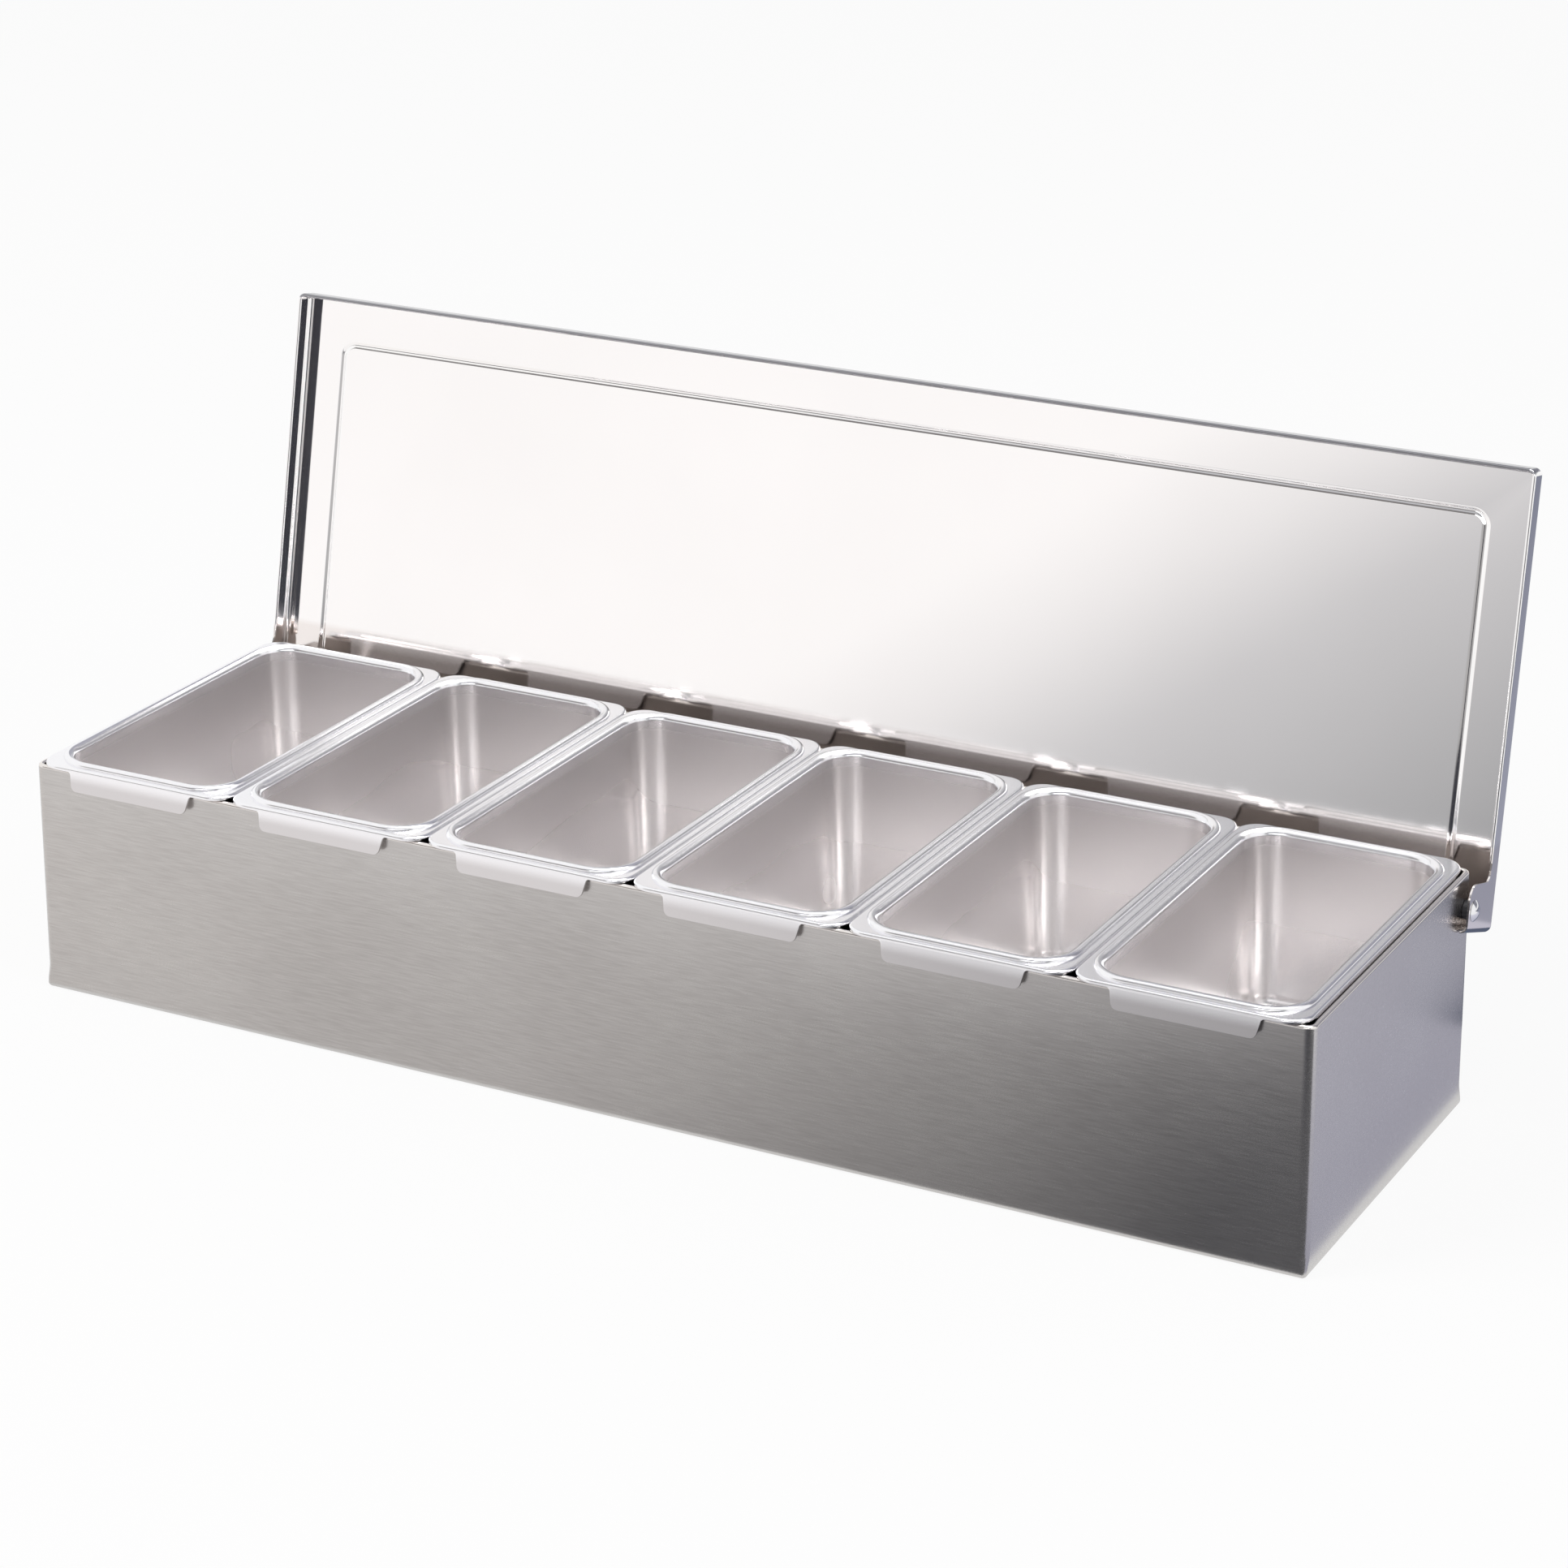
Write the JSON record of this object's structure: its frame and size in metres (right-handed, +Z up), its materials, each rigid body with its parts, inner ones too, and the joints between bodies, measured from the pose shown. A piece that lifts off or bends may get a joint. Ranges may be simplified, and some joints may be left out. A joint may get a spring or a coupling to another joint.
{
  "type": "condiment caddy",
  "caption": "Long open stainless box with lift-out pans hung side by side on its walls and one full-length tray lid, hinged at the box's ends and shown open.",
  "frame": {"origin": "middle of the box's underside", "axes": "+Z up, +X to the right along the row of pans, the front with the tabs in view faces -Y"},
  "size_m": [0.6022, 0.2334, 0.2621],
  "materials": {
    "box_steel": "brushed, with a long fine grain along the walls",
    "lid_steel": "bright, near mirror",
    "pan_steel": "satin inside, polished on rims and tabs",
    "hinge_steel": "polished",
    "spacer_nylon": "dull black nylon"
  },
  "bodies": {
    "base": {"box": "box_steel", "hinge_rivet_left": "hinge_steel", "hinge_rivet_right": "hinge_steel", "hinge_spacer_left": "spacer_nylon", "hinge_spacer_right": "spacer_nylon"},
    "lid": {"lid": "lid_steel"},
    "pan_1": {"pan_1": "pan_steel"},
    "pan_2": {"pan_2": "pan_steel"},
    "pan_3": {"pan_3": "pan_steel"},
    "pan_4": {"pan_4": "pan_steel"},
    "pan_5": {"pan_5": "pan_steel"},
    "pan_6": {"pan_6": "pan_steel"}
  },
  "joints": [
    {"name": "lid_hinge", "type": "hinge", "parent": "base", "child": "lid", "pos_m": [0, 0.08, 0.0895], "axis": [-1, 0, 0], "range_deg": [-104, 0]},
    {"name": "pan_1_lift", "type": "slide", "parent": "base", "child": "pan_1", "axis": [0, 0, 1], "range_m": [0, 0.12]},
    {"name": "pan_2_lift", "type": "slide", "parent": "base", "child": "pan_2", "axis": [0, 0, 1], "range_m": [0, 0.12]},
    {"name": "pan_3_lift", "type": "slide", "parent": "base", "child": "pan_3", "axis": [0, 0, 1], "range_m": [0, 0.12]},
    {"name": "pan_4_lift", "type": "slide", "parent": "base", "child": "pan_4", "axis": [0, 0, 1], "range_m": [0, 0.12]},
    {"name": "pan_5_lift", "type": "slide", "parent": "base", "child": "pan_5", "axis": [0, 0, 1], "range_m": [0, 0.12]},
    {"name": "pan_6_lift", "type": "slide", "parent": "base", "child": "pan_6", "axis": [0, 0, 1], "range_m": [0, 0.12]}
  ]
}
